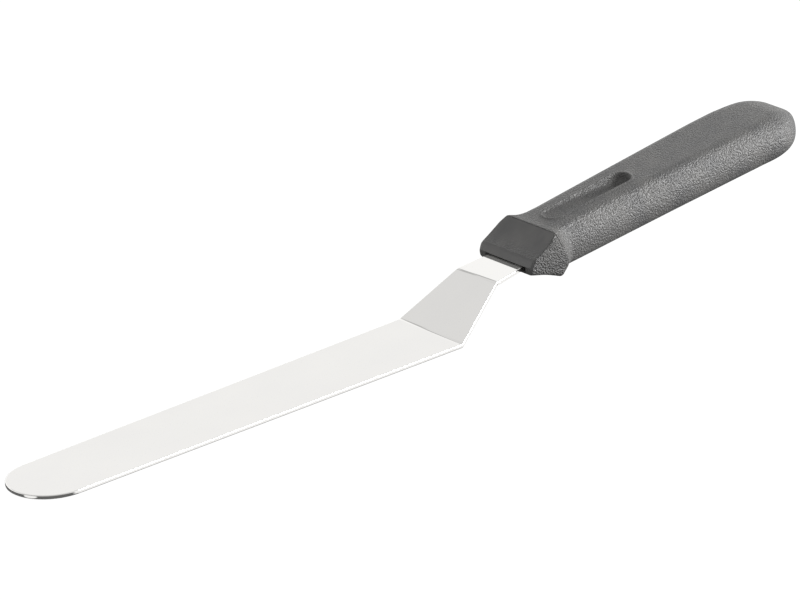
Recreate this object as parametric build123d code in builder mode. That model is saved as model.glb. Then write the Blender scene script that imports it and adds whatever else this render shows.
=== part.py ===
from build123d import *
import os
from math import cos, radians, sin, tan

os.makedirs("parts", exist_ok=True)

# Offset spatula with a moulded handle. Millimetres, +Z up.
# +X points to the tip of the blade. The flat underside of the blade lies on Z = 0, and the origin is under
# the middle of the overall length and width.

# Blade strip
overall_length = 355.0
strip_thickness = 1.4
blade_length = 185.0       # flat working blade, from the tip to the lower bend
heel_width = 30.0          # at the lower bend
tip_width = 27.0           # where the round of the tip begins
tip_reach = 15.6           # length of that round, a half ellipse
step_run = 21.6            # lower bend to upper bend, along X
step_rise = 14.0
shoulder_width = 18.2      # at the upper bend
neck_width = 16.2          # where the strip enters the handle
neck_run = 13.0            # upper bend to the handle's mouth, along X
bend_radius = 2.5          # on the middle of the strip's thickness

# Tang, the hidden end of the strip, measured from the mouth
handle_tilt = 6.1          # rise of the neck, the tang and the handle above the blade's plane, degrees
neck_inside = 8.0          # the strip keeps the neck's width this far in
tang_width = 12.0
tang_length = 88.0
tang_hole_radius = 2.75
tang_holes = (22.0, 48.0, 74.0)

# Handle, measured from the mouth along the tang. Half widths, and heights from the middle of the strip
handle_length = 136.0
nose_above = 3.1           # top of the steep front of the nose
nose_below = 1.8
nose_setback = 1.2         # how far that top leans back
crest_at = 13.2            # thickest line of the bolster
crest_above = 9.1
crest_below = 6.9
core_at = 10.0             # the grip's solid starts here, inside the bolster
core_half = 10.4
waist_at = 17.5            # foot of the bolster's rear slope
grip_above = 8.65
grip_below = 7.7
butt_half = 14.4
butt_above = 8.0
butt_below = 6.15
butt_reach = 17.0          # length of the round at the butt, a half ellipse
top_round = 4.5
under_round = 6.0
# the bolster's plans: height, then its half width at the nose, at the crest and at the waist
bolster_plans = ((-grip_below, 11.3, 12.3, 10.4), (crest_above, 12.9, 13.9, 11.0))
bolster_round = 1.8

# Mouth, the recess round the neck in the front of the nose
mouth_width = 18.6
mouth_height = 2.0
mouth_depth = 2.2

# Thumb groove in the top of the grip: the outline of its floor
groove_start = 20.0
groove_end = 56.6
groove_front_half = 3.2    # half width of its floor at the front, and the radius of that end
groove_rear_half = 1.4     # and at the rear
groove_shallow = 0.35      # depth at its front end
groove_deep = 3.2          # depth at its rear end
groove_draft = 36.0        # lean of its walls, degrees

tip_x = overall_length / 2
heel_x = tip_x - blade_length
shoulder_x = heel_x - step_run
mouth_x = shoulder_x - neck_run
strip_middle = strip_thickness / 2
mouth_z = strip_middle + step_rise + neck_run * tan(radians(handle_tilt))
to_butt = (-cos(radians(handle_tilt)), 0, sin(radians(handle_tilt)))
handle_up = (sin(radians(handle_tilt)), 0, cos(radians(handle_tilt)))
mouth = Vector(mouth_x, 0, mouth_z)

# In all three, X runs from the mouth to the butt, except in nose_plane, which faces the butt
handle_plane = Plane(origin=mouth, x_dir=to_butt, z_dir=handle_up)
side_plane = Plane(origin=mouth, x_dir=to_butt, z_dir=(0, 1, 0))
nose_plane = Plane(origin=mouth, x_dir=(0, 1, 0), z_dir=to_butt)
along_handle = Axis(mouth, to_butt)
up_handle = Axis(mouth, handle_up)
groove_length = groove_end - groove_start
groove_middle = mouth + Vector(to_butt) * (groove_start + groove_length / 2)
groove_middle += Vector(handle_up) * (grip_above - (groove_shallow + groove_deep) / 2)
groove_run = Vector(to_butt) * groove_length - Vector(handle_up) * (groove_deep - groove_shallow)
groove_plane = Plane(origin=groove_middle, x_dir=groove_run, z_dir=Vector(0, 1, 0).cross(groove_run))


# Blade: a strip swept along its bent middle line, then cut to its outline as seen from above
with BuildPart() as blade:
    with BuildLine() as bend_line:
        FilletPolyline(
            (tip_x, 0, strip_middle),
            (heel_x, 0, strip_middle),
            (shoulder_x, 0, step_rise + strip_middle),
            mouth + Vector(to_butt) * tang_length,
            radius=bend_radius,
        )
    with BuildSketch(Plane(origin=(tip_x, 0, strip_middle), x_dir=(0, 1, 0), z_dir=(-1, 0, 0))):
        Rectangle(heel_width + 2, strip_thickness)
    sweep()
    with BuildSketch(Plane.XY) as outline:
        with BuildLine():
            tip_curve = EllipticalCenterArc(
                (tip_x - tip_reach, 0), tip_reach, tip_width / 2, start_angle=-90, arc_size=180
            )
            inside_x = mouth_x + neck_inside * to_butt[0]
            end_x = mouth_x + tang_length * to_butt[0]
            side = Polyline(
                tip_curve @ 1,
                (heel_x, heel_width / 2),
                (shoulder_x, shoulder_width / 2),
                (mouth_x, neck_width / 2),
                (inside_x, neck_width / 2),
                (inside_x, tang_width / 2),
                (end_x, tang_width / 2),
                (end_x, 0),
            )
            mirror(side, about=Plane.XZ)
        make_face()
    extrude(amount=3 * mouth_z, mode=Mode.INTERSECT)
    with BuildSketch(handle_plane):
        with Locations([(at, 0) for at in tang_holes]):
            Circle(tang_hole_radius)
    extrude(amount=strip_thickness, both=True, mode=Mode.SUBTRACT)
blade.part.label = "blade"
export_step(blade.part, "parts/blade.step")


# Grip: its plan extruded, cut to the side view, and the long edges rounded
with BuildPart() as grip:
    with BuildSketch(handle_plane.offset(-grip_below)) as grip_plan:
        with BuildLine():
            butt_curve = EllipticalCenterArc(
                (handle_length - butt_reach, 0), butt_reach, butt_half, start_angle=-90, arc_size=180
            )
            grip_side = Polyline(butt_curve @ 1, (core_at, core_half), (core_at, 0))
            mirror(grip_side, about=Plane.XZ)
        make_face()
    extrude(amount=grip_below + grip_above)
    with BuildSketch(side_plane) as grip_view:
        with BuildLine():
            Polyline(
                (core_at, grip_above),
                (handle_length, butt_above),
                (handle_length, -butt_below),
                (core_at, -grip_below),
                close=True,
            )
        make_face()
    extrude(amount=butt_half + 1, both=True, mode=Mode.INTERSECT)
    front_edges = grip.faces().sort_by(along_handle)[0].edges()
    fillet(grip.faces().sort_by(up_handle)[-1].edges() - front_edges, top_round)
    fillet(grip.faces().sort_by(up_handle)[0].edges() - front_edges, under_round)


# Bolster: a blunt wedge, wider and taller towards its crest, with a short slope down to the grip's waist.
# Its cheeks lean outwards from a narrow plan at its foot to a wide one at its crest
with BuildPart() as bolster:
    for plan_height, nose_half, crest_half, waist_half in bolster_plans:
        with BuildSketch(handle_plane.offset(plan_height)):
            with BuildLine():
                bolster_side = Polyline(
                    (0, 0),
                    (0, nose_half),
                    (crest_at, crest_half),
                    (waist_at, waist_half),
                    (waist_at, 0),
                )
                mirror(bolster_side, about=Plane.XZ)
            make_face()
    loft(ruled=True)
    with BuildSketch(side_plane) as bolster_view:
        with BuildLine():
            Polyline(
                (0, -nose_below),
                (0, strip_middle),
                (nose_setback, nose_above),
                (crest_at, crest_above),
                (waist_at, grip_above - 1),
                (waist_at, 1 - grip_below),
                (crest_at, -crest_below),
                close=True,
            )
        make_face()
    extrude(amount=butt_half + 1, both=True, mode=Mode.INTERSECT)
    rear_edges = bolster.faces().sort_by(along_handle)[-1].edges()
    fillet(bolster.edges() - rear_edges, bolster_round)


# Handle: grip and bolster in one, with the mouth, the thumb groove and the room for the tang cut out
with BuildPart() as handle:
    add(grip.part)
    add(bolster.part)
    # mouth
    with BuildSketch(nose_plane):
        Rectangle(mouth_width, mouth_height)
    extrude(amount=mouth_depth, mode=Mode.SUBTRACT)
    # thumb groove: its floor runs deeper and narrower towards the rear, and its walls lean outwards
    with BuildSketch(groove_plane) as groove_floor:
        with BuildLine():
            front_end = CenterArc((groove_front_half - groove_length / 2, 0), groove_front_half, 90, 180)
            rear_end = CenterArc((groove_length / 2 - groove_rear_half, 0), groove_rear_half, -90, 180)
            Line(front_end @ 1, rear_end @ 0)
            Line(rear_end @ 1, front_end @ 0)
        make_face()
    extrude(amount=3 * groove_deep, taper=-groove_draft, mode=Mode.SUBTRACT)
    # the plastic lies against the tang all round and fills its holes
    add(blade.part, mode=Mode.SUBTRACT)
handle.part.label = "handle"
export_step(handle.part, "parts/handle.step")
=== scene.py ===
from math import cos, pi, radians, sin, sqrt
import bmesh
import bpy
import numpy as np
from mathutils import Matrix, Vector


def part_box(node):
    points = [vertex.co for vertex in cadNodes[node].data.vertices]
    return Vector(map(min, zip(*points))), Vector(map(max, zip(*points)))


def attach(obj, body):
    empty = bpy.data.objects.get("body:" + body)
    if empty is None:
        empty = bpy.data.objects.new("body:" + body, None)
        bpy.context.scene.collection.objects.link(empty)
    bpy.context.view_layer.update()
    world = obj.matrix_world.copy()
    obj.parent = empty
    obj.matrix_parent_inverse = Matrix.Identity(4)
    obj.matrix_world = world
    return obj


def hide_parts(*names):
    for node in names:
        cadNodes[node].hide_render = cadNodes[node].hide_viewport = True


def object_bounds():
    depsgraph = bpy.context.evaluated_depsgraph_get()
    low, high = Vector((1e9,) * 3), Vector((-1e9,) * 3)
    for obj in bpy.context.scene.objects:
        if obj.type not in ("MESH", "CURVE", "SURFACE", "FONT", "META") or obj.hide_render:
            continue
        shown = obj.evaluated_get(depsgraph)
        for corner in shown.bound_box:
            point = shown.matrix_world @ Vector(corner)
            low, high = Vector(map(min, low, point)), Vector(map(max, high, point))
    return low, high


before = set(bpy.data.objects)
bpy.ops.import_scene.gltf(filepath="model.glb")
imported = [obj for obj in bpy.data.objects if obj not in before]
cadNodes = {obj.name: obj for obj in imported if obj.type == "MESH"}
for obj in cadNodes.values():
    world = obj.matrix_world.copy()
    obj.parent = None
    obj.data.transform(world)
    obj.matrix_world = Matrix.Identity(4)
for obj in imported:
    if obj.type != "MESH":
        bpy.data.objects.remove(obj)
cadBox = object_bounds()
centre = (cadBox[0] + cadBox[1]) / 2
mm = 0.001
print("frame loaded, box", [tuple(round(v, 4) for v in corner) for corner in cadBox])


# a shader socket that can stand in an expression: every operator adds one Math node
class Wire:
    def __init__(self, paint, socket):
        self.paint, self.socket = paint, socket

    def math(self, operation, first, second):
        return self.paint.node("ShaderNodeMath", {"operation": operation}, {0: first, 1: second})

    def __add__(self, other):
        return self.math("ADD", self, other)

    def __radd__(self, other):
        return self.math("ADD", other, self)

    def __sub__(self, other):
        return self.math("SUBTRACT", self, other)

    def __rsub__(self, other):
        return self.math("SUBTRACT", other, self)

    def __mul__(self, other):
        return self.math("MULTIPLY", self, other)

    def __rmul__(self, other):
        return self.math("MULTIPLY", other, self)


# a node tree being filled: node() adds any node, with its settings first and then its sockets
class Paint:
    def __init__(self, owner):
        owner.use_nodes = True
        self.owner = owner
        self.tree = owner.node_tree
        self.shader = next(n for n in self.tree.nodes if n.type in ("BSDF_PRINCIPLED", "BACKGROUND"))

    def node(self, kind, settings=None, sockets=None, out=0):
        made = self.tree.nodes.new(kind)
        for key, value in (settings or {}).items():
            if key == "stops":
                madeStops = made.color_ramp.elements
                while len(madeStops) < len(value):
                    madeStops.new(0.5)
                for stop, (place, colour) in zip(madeStops, value):
                    stop.position, stop.color = place, colour
            else:
                setattr(made, key, value)
        self.fill(made, sockets or {})
        return Wire(self, made.outputs[out])

    def fill(self, made, sockets):
        for key, value in sockets.items():
            if isinstance(value, Wire):
                self.tree.links.new(value.socket, made.inputs[key])
            else:
                made.inputs[key].default_value = value

    def place(self, scale):
        spot = self.node("ShaderNodeTexCoord", out=3)  # object space, in metres
        return self.node("ShaderNodeVectorMath", {"operation": "MULTIPLY"}, {0: spot, 1: scale})

    def noise(self, scale, detail):
        return self.node(
            "ShaderNodeTexNoise", None,
            {"Vector": self.place(scale), "Scale": 1.0, "Detail": detail, "Roughness": 0.5},
        )

    def blend(self, factor, first, second):
        return self.node(
            "ShaderNodeMix", {"data_type": "RGBA"}, {0: factor, 6: first, 7: second}, out=2
        )

    # 0 at low, 1 at high
    def between(self, value, low, high, soft=False):
        return self.node(
            "ShaderNodeMapRange", {"interpolation_type": "SMOOTHSTEP" if soft else "LINEAR"},
            {"Value": value, "From Min": low, "From Max": high},
        )


# 0 at start, 1 at end, and no further either way
def ramp(value, start, end):
    return min(max((value - start) / (end - start), 0), 1)


# height of a line through points at a
def lineAt(points, a):
    return float(np.interp(a, *zip(*points)))


# the same line with its corners rounded over the length each way that soft gives
def softLine(points, soft):
    offsets = np.linspace(-1, 1, 41)
    weights = 1 - offsets * offsets

    def height(a):
        near = np.interp(a + offsets * lineAt(soft, a), *zip(*points))
        return float(np.sum(near * weights) / np.sum(weights))

    return height


# the handle lies on a straight line that climbs from the mouth to the butt: a runs along it from the mouth,
# y across, and up is square to it
handleLine = {"climb": 6.1, "tangLength": 88.0, "stripHalf": 0.7}
climb = radians(handleLine["climb"])
toButt = Vector((-cos(climb), 0, sin(climb)))
handleUp = Vector((sin(climb), 0, cos(climb)))
tangLow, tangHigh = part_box("blade")
tangEnd = Vector((tangLow.x, 0, tangHigh.z - handleLine["stripHalf"] * mm * cos(climb)))
mouth = tangEnd - toButt * handleLine["tangLength"] * mm


def onHandle(a, y, up):
    return mouth + toButt * (a * mm) + Vector((0, y * mm, 0)) + handleUp * (up * mm)


# Handle: rings of points across the handle line, all with the same count, skinned into one closed mesh.
# Everything is in millimetres and degrees, from the mouth.
handleShape = {
    "length": 135.8,
    # height of the top: steep front, wedge face, crest, short slope back, straight grip
    "top": (
        (0, 1.2), (1.3, 3.5), (13.3, 9.2), (15.6, 9.0), (40, 9.25), (85, 9.5), (112, 9.6), (136.3, 8.9),
    ),
    "topSoft": ((0, 0.3), (5, 0.5), (14, 0.6), (16, 1.6), (24, 6.0), (130, 6.0)),
    "bottom": ((0, 1.45), (13.3, 7.7), (15.2, 8.25), (17.5, 7.3), (20, 7.0), (70, 6.4), (136.3, 6.0)),
    "bottomSoft": ((0, 0.4), (13, 0.9), (16, 1.8), (24, 1.5)),
    # half width half way up the side
    "half": ((0, 12.3), (2, 12.75), (13.3, 13.95), (15.6, 12.0), (18.5, 11.2), (119, 14.4), (136.3, 15.0)),
    "halfSoft": ((0, 0.5), (11, 0.5), (13, 0.35), (14.5, 0.5), (16, 1.2), (24, 1.5)),
    # lean of the side (minus faces down) and how far it turns between the two long edges
    "lean": ((0, -6), (3, -4), (13, -1), (18, 6), (24, 9), (112, 9), (136.3, 42)),
    "fullness": ((0, 8), (4, 24), (13, 38), (17, 42), (24, 52), (112, 58), (136.3, 90)),
    # radius of the long edges
    "topRound": (
        (0, 1.0), (4, 1.3), (10, 1.7), (13.3, 3.1), (20, 3.4),
        (100, 4.4), (112, 5.6), (124, 8.6), (136.3, 12),
    ),
    "underRound": ((0, 1.3), (13, 2.4), (18, 4.8), (110, 5.2), (136.3, 6.5)),
    # the bolster's ridge leans back towards its foot: height, then how far
    "ridge": ((-7, 1.0), (-5.8, 1.4), (-3.8, 2.7), (-2.4, 3.0), (0.5, 2.5), (3.8, 1.8), (7.7, 0.5), (9, 0)),
    "ridgeGrows": (1, 11),      # none of that lean, then all of it
    "ridgeFades": (27, 16),     # none of it again, and the last place with all of it
    # the butt: how long its round is in plan, on top and underneath, and the height that it closes round
    "buttReach": 19.4,
    "buttTop": 14.0,
    "buttUnder": 7.0,
    "buttMiddle": 0.4,
    "lip": 0.45,                # round of the front face's rim
    "lipTop": 0.1,              # share of it that the top takes
}
# the recess round the neck, in the front of the nose
mouthShape = {"half": 9.3, "up": 0.9, "round": 0.5, "depth": 2.2, "rimDepth": 0.35, "flare": 0.12}
grooveShape = {
    "start": 19.6,
    "end": 59.2,
    "half": (3.75, 3.95),       # at the front and at the rear
    "depth": ((19.6, 0.7), (27, 0.85), (36, 1.15), (44, 1.7), (52, 2.5), (57, 3.2), (60, 3.4)),
    "scoop": 4.0,               # 2 is a plain dish, more is a flatter floor
    "middle": 0.25,
    "bead": (0.32, 0.4, 0.5),   # low swell round the rim: height, how far outside, half width
    "touches": {"from": 17.5, "to": 62, "half": 7.5, "above": 5},
}
# points of half a ring, run by run from the middle of the top to the middle of the bottom
ringCounts = {"flat": 34, "topArc": 12, "side": 18, "underArc": 12, "foot": 12}
# rings along the handle: from, to and how many, closest where the shape turns
ringRuns = (
    (0, 0.45, 6), (0.6, 2.2, 10), (2.5, 12.3, 26), (12.5, 20.0, 44),
    (20.2, 24.0, 18), (24.5, 54.0, 60), (54.2, 60.0, 36),
)
gripRun = (61.5, 30)            # from there to the butt's round, and how many
buttRun = (3, 89.2, 46)         # angles round the butt, and how many
# how strong the moulded grain is, and where it stops: the steep front and the wedge face are smooth
grainSpread = {
    "bolster": 2.0,
    "grip": 1.0,
    "change": (12.5, 15.5),
    "frontLean": (0.30, 0.42),  # how much a surface faces forwards, from grained to smooth
    "frontEnd": (13.6, 13.0),
}


# half of one ring, from the middle of the top to the middle of the bottom: an edge arc, a full side and
# another edge arc, each turning into the next
def halfRing(top, bottom, half, topRound, underRound, lean=0.0, fullness=0.0):
    spare = 0.2  # degrees that keep the side's arc from closing to nothing
    high, low = radians(lean + fullness / 2 + spare), radians(lean - fullness / 2 - spare)
    topRound = min(topRound, 0.9 * half)
    underRound = min(underRound, 0.9 * half)
    # keep both edge arcs within the height
    edges = topRound * (1 - sin(high)) + underRound * (1 + sin(low))
    fit = min(1, 0.85 * (top + bottom) / edges)
    topRound, underRound = topRound * fit, underRound * fit
    sideRound = ((top + bottom) - edges * fit) / (sin(high) - sin(low))
    middle = (sin(high) + sin(low)) / 2
    sideY = half - sideRound * sqrt(1 - middle * middle)
    sideUp = top - topRound * (1 - sin(high)) - sideRound * sin(high)
    topY = sideY + (sideRound - topRound) * cos(high)
    underY = sideY + (sideRound - underRound) * cos(low)
    points = [(topY * i / ringCounts["flat"], top) for i in range(ringCounts["flat"])]
    arcs = (
        (topY, top - topRound, topRound, pi / 2, high, ringCounts["topArc"]),
        (sideY, sideUp, sideRound, high, low, ringCounts["side"]),
        (underY, underRound - bottom, underRound, low, -pi / 2, ringCounts["underArc"]),
    )
    for arcY, arcUp, radius, first, last, count in arcs:
        for i in range(count):
            turn = first + (last - first) * i / count
            points.append((arcY + radius * cos(turn), arcUp + radius * sin(turn)))
    for i in range(ringCounts["foot"] + 1):
        points.append((underY * (1 - i / ringCounts["foot"]), -bottom))
    return points


# how far the groove lies below the top at a point
def grooveDepth(a, y):
    start, end = grooveShape["start"], grooveShape["end"]
    frontHalf, rearHalf = grooveShape["half"]
    half = frontHalf + (rearHalf - frontHalf) * ramp(a, start, end)
    y = y - grooveShape["middle"]
    beyond = max(start + frontHalf - a, a - (end - rearHalf), 0)  # into one of its round ends
    inside = half - sqrt(beyond * beyond + y * y)
    floor = lineAt(grooveShape["depth"], a) * (1 - ramp(inside, half, 0) ** grooveShape["scoop"])
    high, out, wide = grooveShape["bead"]
    return floor - high * float(np.exp(-((inside + out) / wide) ** 2))


def inGroove(a, y, up):
    touches = grooveShape["touches"]
    return touches["from"] < a < touches["to"] and abs(y) < touches["half"] and up > touches["above"]


def handleStations():
    buttStart = handleShape["length"] - handleShape["buttReach"]
    stations = [a for run in ringRuns for a in np.linspace(*run)]
    stations += list(np.linspace(gripRun[0], buttStart, gripRun[1]))
    for turn in np.linspace(*buttRun):
        stations.append(handleShape["length"] - handleShape["buttReach"] * cos(radians(turn)))
    return stations


# rings of the outside, front to back: each is its place along the handle and its half outline
def outsideRings():
    shape = handleShape
    top = softLine(shape["top"], shape["topSoft"])
    bottom = softLine(shape["bottom"], shape["bottomSoft"])
    halfWidth = softLine(shape["half"], shape["halfSoft"])
    lip, reach, buttMiddle = shape["lip"], shape["buttReach"], shape["buttMiddle"]
    rings = []
    for a in handleStations():
        above, below, half = top(a), bottom(a), halfWidth(a)
        if a < lip:
            back = lip - sqrt(lip ** 2 - (lip - a) ** 2)
            above, below, half = above - back * shape["lipTop"], below - back, half - back
        toEnd = shape["length"] - a
        half *= sqrt(1 - max(1 - toEnd / reach, 0) ** 2)
        above = buttMiddle + (above - buttMiddle) * sqrt(1 - max(1 - toEnd / shape["buttTop"], 0) ** 2)
        below = (below + buttMiddle) * sqrt(1 - max(1 - toEnd / shape["buttUnder"], 0) ** 2) - buttMiddle
        edges = lineAt(shape["topRound"], a), lineAt(shape["underRound"], a)
        side = lineAt(shape["lean"], a), lineAt(shape["fullness"], a)
        rings.append((a, halfRing(above, below, half, *edges, *side)))
    return rings


def mouthRings():
    m = mouthShape
    inner = halfRing(m["up"], m["up"], m["half"], m["round"], m["round"])
    rim = halfRing(m["up"] + m["flare"], m["up"] + m["flare"], m["half"] + m["flare"], m["round"], m["round"])
    return [(m["depth"], inner), (m["rimDepth"], inner), (0.0, rim)]


# where a point of the outside goes: pushed down in the groove and back along the ridge
def outsidePoint(a, y, up):
    ridge = lineAt(handleShape["ridge"], up)
    ridge *= ramp(a, *handleShape["ridgeGrows"]) * ramp(a, *handleShape["ridgeFades"])
    sunk = grooveDepth(a, y) if inGroove(a, y, up) else 0
    return onHandle(a + ridge, y, up - sunk)


def wholeRing(half):
    return half + [(-y, up) for y, up in reversed(half[1:-1])]


def handleMesh():
    mesh = bmesh.new()
    grain = mesh.verts.layers.float.new("grain")
    loops = []
    for a, half in mouthRings():
        loops.append([mesh.verts.new(onHandle(a, y, up)) for y, up in wholeRing(half)])
    for a, half in outsideRings():
        loops.append([mesh.verts.new(outsidePoint(a, y, up)) for y, up in wholeRing(half)])
    count = len(loops[0])
    for front, back in zip(loops, loops[1:]):
        for i in range(count):
            j = (i + 1) % count
            mesh.faces.new((front[i], front[j], back[j], back[i]))
    mesh.faces.new(loops[0])
    end = mesh.verts.new(onHandle(handleShape["length"], 0, handleShape["buttMiddle"]))
    for i in range(count):
        mesh.faces.new((loops[-1][i], loops[-1][(i + 1) % count], end))
    bmesh.ops.recalc_face_normals(mesh, faces=mesh.faces)
    mesh.normal_update()
    spread = grainSpread
    for vert in mesh.verts:
        a = (vert.co - mouth).dot(toButt) / mm
        smooth = ramp(vert.normal.dot(-toButt), *spread["frontLean"]) * ramp(a, *spread["frontEnd"])
        strength = spread["bolster"] + (spread["grip"] - spread["bolster"]) * ramp(a, *spread["change"])
        vert[grain] = (1 - smooth) * strength
    for face in mesh.faces:
        face.smooth = True
    data = bpy.data.meshes.new("handleSkin")
    mesh.to_mesh(data)
    mesh.free()
    return data


handle = bpy.data.objects.new("grip_and_bolster", handleMesh())
bpy.context.scene.collection.objects.link(handle)
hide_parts("handle")
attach(handle, "root")
print("handle built,", len(handle.data.polygons), "faces")


# Blade: the strip as it is, with its edges broken
bladeFinish = {
    "edge": 0.32,                   # width of the broken edge, millimetres
    "weld": 0.005,                  # corners closer than this are one, millimetres
    "edgeAngle": 60,
    "rough": 0.035,
    "roughSpread": 0.02,
    "grinding": (9000, 260, 9000),  # lines per metre along, across and up
    "grindingDepth": 0.00001,
    "clouds": (38, 55, 38),
    "dull": (0.92, 0.912, 0.9, 1),
    "bright": (0.94, 0.932, 0.915, 1),
}
blade = cadNodes["blade"]
joinCorners = blade.modifiers.new("joinCorners", "WELD")
joinCorners.merge_threshold = bladeFinish["weld"] * mm
edgeBreak = blade.modifiers.new("edgeBreak", "BEVEL")
edgeBreak.width = bladeFinish["edge"] * mm
edgeBreak.segments = 4
edgeBreak.limit_method = "ANGLE"
edgeBreak.angle_limit = radians(bladeFinish["edgeAngle"])
edgeBreak.harden_normals = True
edgeBreak.use_clamp_overlap = False


# polished strip: very fine grinding lines across it and a faint cloudiness
def steelPaint():
    finish = bladeFinish
    paint = Paint(bpy.data.materials.new("polished_strip"))
    lines = paint.noise(finish["grinding"], 2.0)
    cloud = paint.noise(finish["clouds"], 3.0)
    rough = finish["rough"] + (cloud - 0.5) * finish["roughSpread"] + (lines - 0.5) * finish["roughSpread"]
    tint = paint.blend(paint.between(cloud, 0.3, 0.7), finish["dull"], finish["bright"])
    relief = paint.node(
        "ShaderNodeBump", None, {"Height": lines, "Strength": 0.03, "Distance": finish["grindingDepth"]}
    )
    paint.fill(paint.shader, {"Base Color": tint, "Roughness": rough, "Normal": relief, "Metallic": 1.0})
    return paint.owner


blade.material_slots[0].material = steelPaint()


# moulded plastic: leather-like grain of raised cells, smooth where the grain attribute is 0
plasticFinish = {
    "cell": 0.58,                   # across one cell, millimetres
    "grainDepth": 0.00036,
    "rough": 0.36,
    "roughSpread": 0.06,
    "clouds": (110, 150, 110),
    "dark": (0.078, 0.078, 0.079, 1),
    "pale": (0.112, 0.11, 0.107, 1),
}


def plasticPaint():
    finish = plasticFinish
    paint = Paint(bpy.data.materials.new("grained_plastic"))
    cells = 1 / (finish["cell"] * mm)
    grain = paint.node("ShaderNodeAttribute", {"attribute_name": "grain"}, out=2)
    swell = paint.noise((cells * 0.8, cells * 0.8, cells * 0.8), 1.0)
    pebbles = paint.node(
        "ShaderNodeTexVoronoi", {"feature": "SMOOTH_F1"},
        {"Vector": paint.place((cells, cells, cells)), "Scale": 1.0, "Smoothness": 0.4, "Randomness": 1.0},
    )
    fine = paint.noise((cells * 2.4, cells * 2.4, cells * 2.4), 2.0)
    cloud = paint.noise(finish["clouds"], 3.0)
    height = (1 - pebbles) * 0.7 + swell * 0.5 + fine * 0.25
    relief = paint.node(
        "ShaderNodeBump", None,
        {"Height": height * grain + fine * 0.03, "Strength": 1.0, "Distance": finish["grainDepth"]},
    )
    tint = paint.blend(paint.between(cloud, 0.3, 0.7), finish["dark"], finish["pale"])
    rough = finish["rough"] + finish["roughSpread"] * (cloud - 0.5)
    paint.fill(paint.shader, {"Base Color": tint, "Roughness": rough, "Normal": relief, "IOR": 1.5})
    return paint.owner


handle.data.materials.append(plasticPaint())
print("materials made")

# Camera: long lens, far off, aimed a little to one side of the object's middle
cameraPlace = {
    "azimuth": 135.66,
    "elevation": 22.78,
    "lens": 360,
    "distance": 2.6424,
    "aside": (0.002113, -0.00494, -0.005033),
}
azimuth, elevation = radians(cameraPlace["azimuth"]), radians(cameraPlace["elevation"])
toCamera = Vector((sin(azimuth) * cos(elevation), -cos(azimuth) * cos(elevation), sin(elevation)))
camera = bpy.data.objects.new("camera", bpy.data.cameras.new("camera"))
camera.data.lens = cameraPlace["lens"]
camera.data.sensor_width = 36
camera.data.clip_end = 20
camera.rotation_mode = "QUATERNION"
camera.location = centre + Vector(cameraPlace["aside"]) + toCamera * cameraPlace["distance"]
camera.rotation_quaternion = (-toCamera).to_track_quat("-Z", "Y")
bpy.context.scene.collection.objects.link(camera)
bpy.context.scene.camera = camera

# Floor: a wide pale sheet just under the blade
floorLook = {"half": 3.0, "drop": 0.0002, "glow": 0.98, "colour": (0.08, 0.08, 0.08, 1)}
floorMesh = bmesh.new()
bmesh.ops.create_grid(floorMesh, x_segments=1, y_segments=1, size=floorLook["half"])
floorData = bpy.data.meshes.new("floor")
floorMesh.to_mesh(floorData)
floorMesh.free()
floor = bpy.data.objects.new("floor", floorData)
floor.location.z = cadBox[0].z - floorLook["drop"]
bpy.context.scene.collection.objects.link(floor)
floorPaint = Paint(bpy.data.materials.new("pale_floor"))
floorPaint.fill(floorPaint.shader, {
    "Base Color": floorLook["colour"], "Roughness": 1.0, "Specular IOR Level": 0.0,
    "Emission Color": (1, 1, 1, 1), "Emission Strength": floorLook["glow"],
})
floorData.materials.append(floorPaint.owner)
floor.visible_diffuse = False
floor.visible_glossy = False
floor.visible_shadow = False


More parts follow.
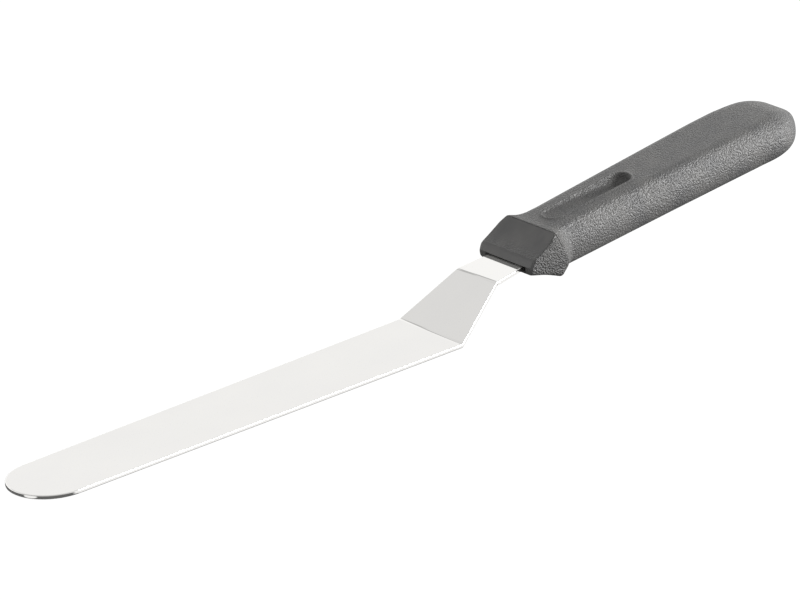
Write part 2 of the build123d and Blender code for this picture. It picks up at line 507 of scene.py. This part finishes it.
# Light: a pale room, white low down at the far side with a darker gap above it and greyer overhead, and one
# softbox standing low beside the butt
roomLook = {
    # height of the direction, then how bright the room is there
    "upper": (
        (0.0, 1.35), (0.3, 1.3), (0.36, 0.93), (0.4, 0.92), (0.47, 1.0), (0.57, 1.0),
        (0.61, 0.5), (0.69, 0.5), (0.73, 0.76), (1.0, 0.66),
    ),
    "peak": 1.5,
    "near": 0.48,        # above the horizon, on the camera's side
    "under": 0.13,       # below the horizon
    "underRight": 0.95,  # and there on the right, and in a small patch past the tip
    # a side is a direction, and how squarely one must look at it to be at its edge and well inside it
    "nearSide": ((0.7, 0.7, 0), 0.1, 0.75),
    "rightSide": ((-0.92, 0.39, 0), 0.62, 0.74),
    "tipSide": ((0.915, 0.09, -0.39), 0.94, 0.965),
    "rightEnds": (-0.6, -0.45),
    "horizon": (-0.12, 0.0),
}
boxLook = {"from": (-0.69, 0.67, 0.25), "size": (0.8, 0.6), "away": 1.2, "watts": 19}


def paintRoom():
    room = bpy.data.worlds.new("room")
    bpy.context.scene.world = room
    paint = Paint(room)
    toward = paint.node("ShaderNodeTexCoord")
    peak = roomLook["peak"]

    def facing(direction):
        return paint.node(
            "ShaderNodeVectorMath", {"operation": "DOT_PRODUCT"}, {0: toward, 1: direction}, out=1
        )

    def side(name):
        direction, edge, inside = roomLook[name]
        return paint.between(facing(direction), edge, inside, soft=True)

    height = facing((0, 0, 1))
    stops = [(place, (level / peak, level / peak, level / peak, 1)) for place, level in roomLook["upper"]]
    upper = paint.node("ShaderNodeValToRGB", {"stops": stops}, {0: height}) * peak
    near = side("nearSide")
    upper = upper * (1 - near) + roomLook["near"] * near
    right = side("rightSide") * paint.between(height, *roomLook["rightEnds"], soft=True)
    brighter = roomLook["underRight"] - roomLook["under"]
    under = roomLook["under"] + (right + side("tipSide")) * brighter
    above = paint.between(height, *roomLook["horizon"], soft=True)
    paint.fill(paint.shader, {"Color": (1, 0.997, 0.99, 1), "Strength": upper * above + under * (1 - above)})


paintRoom()
lamp = bpy.data.lights.new("softbox", "AREA")
lamp.shape = "RECTANGLE"
lamp.size, lamp.size_y = boxLook["size"]
lamp.energy = boxLook["watts"]
softbox = bpy.data.objects.new("softbox", lamp)
away = Vector(boxLook["from"]).normalized()
softbox.location = centre + away * boxLook["away"]
softbox.rotation_mode = "QUATERNION"
softbox.rotation_quaternion = (-away).to_track_quat("-Z", "Y")
softbox.visible_camera = False
bpy.context.scene.collection.objects.link(softbox)

bpy.context.scene.view_settings.view_transform = "Standard"
bpy.context.scene.view_settings.look = "None"
print("camera, floor and lights placed")
